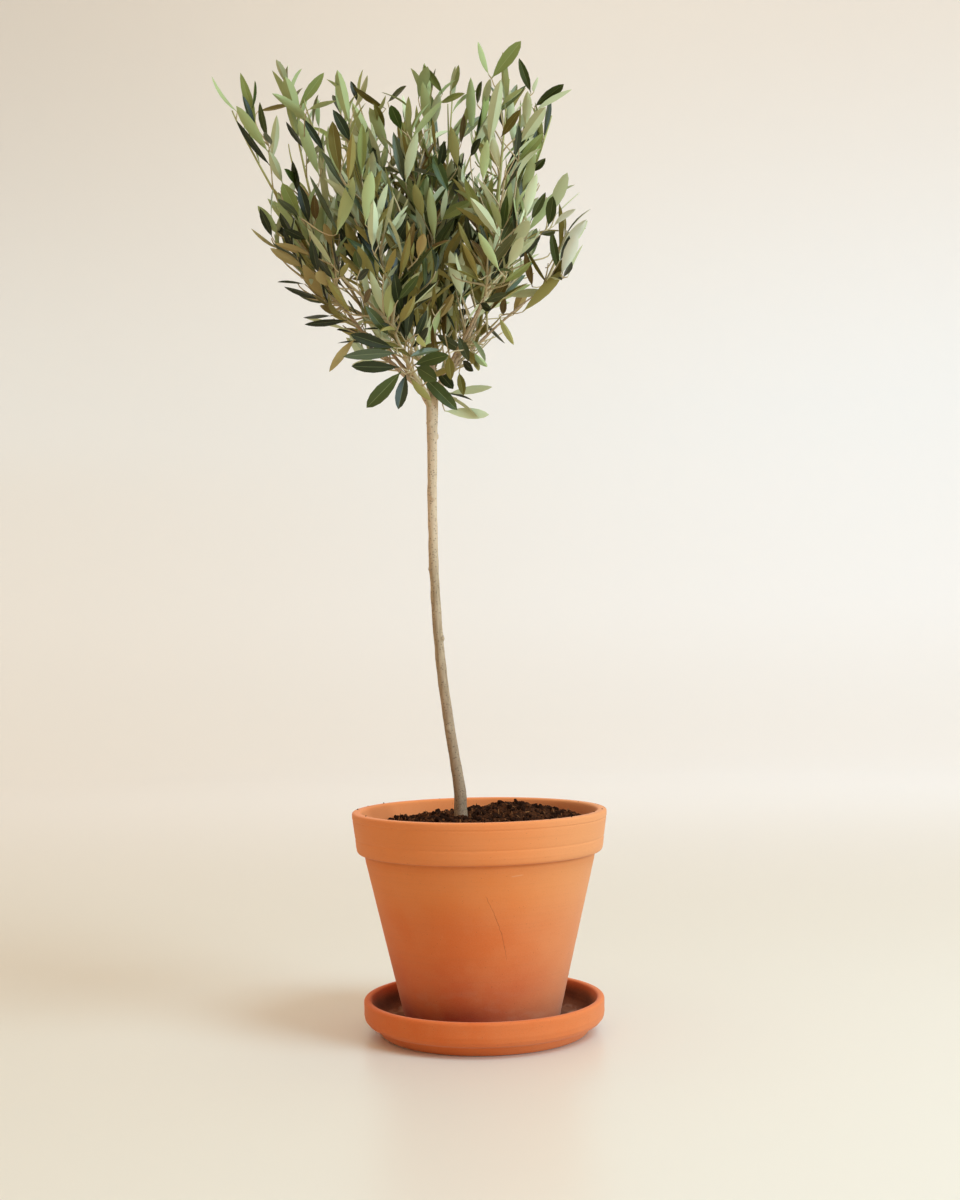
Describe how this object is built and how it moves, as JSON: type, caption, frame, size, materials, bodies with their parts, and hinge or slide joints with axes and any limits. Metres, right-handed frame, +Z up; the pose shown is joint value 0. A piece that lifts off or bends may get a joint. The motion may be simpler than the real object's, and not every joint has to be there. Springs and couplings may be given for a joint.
{
  "type": "potted olive tree",
  "caption": "Young olive tree with a bare stem and a brush-shaped leafy head, growing in a round clay pot with a thick rim that stands on a clay saucer.",
  "frame": {"origin": "on the pot's axis, on the flat underside of the saucer, at floor level", "axes": "+Z up, +X to the viewer's right, +Y away from the viewer"},
  "size_m": [0.4105, 0.3522, 1.0592],
  "materials": {
    "pot_clay": "matte, unglazed",
    "saucer_clay": "matte, unglazed",
    "soil": "matte, crumbly",
    "bark": "matte",
    "foliage": "satin"
  },
  "bodies": {
    "root": {"bough_back": "bark", "bough_back_left": "bark", "bough_back_right": "bark", "bough_centre": "bark", "bough_front_left": "bark", "bough_front_right": "bark", "bough_left": "bark", "bough_low_right": "bark", "bough_middle_left": "bark", "bough_right": "bark", "mass_back_crest": "foliage", "mass_back_left_crest": "foliage", "mass_back_left_low": "foliage", "mass_back_left_middle": "foliage", "mass_back_low": "foliage", "mass_back_middle": "foliage", "mass_back_right_high": "foliage", "mass_back_right_middle": "foliage", "mass_centre_back": "foliage", "mass_centre_front": "foliage", "mass_centre_left": "foliage", "mass_centre_top": "foliage", "mass_front_left_crest": "foliage", "mass_front_left_high": "foliage", "mass_front_left_low": "foliage", "mass_front_middle": "foliage", "mass_front_right_crest": "foliage", "mass_front_right_high": "foliage", "mass_front_right_low": "foliage", "mass_front_rosette": "foliage", "mass_left_crest": "foliage", "mass_left_far": "foliage", "mass_left_low": "foliage", "mass_left_middle": "foliage", "mass_left_under": "foliage", "mass_low_right_tuft": "foliage", "mass_right_crest": "foliage", "mass_right_far": "foliage", "mass_right_high": "foliage", "mass_right_low": "foliage", "mass_right_middle": "foliage", "mass_right_under": "foliage", "pot": "pot_clay", "saucer": "saucer_clay", "soil": "soil", "trunk": "bark"}
  },
  "joints": []
}
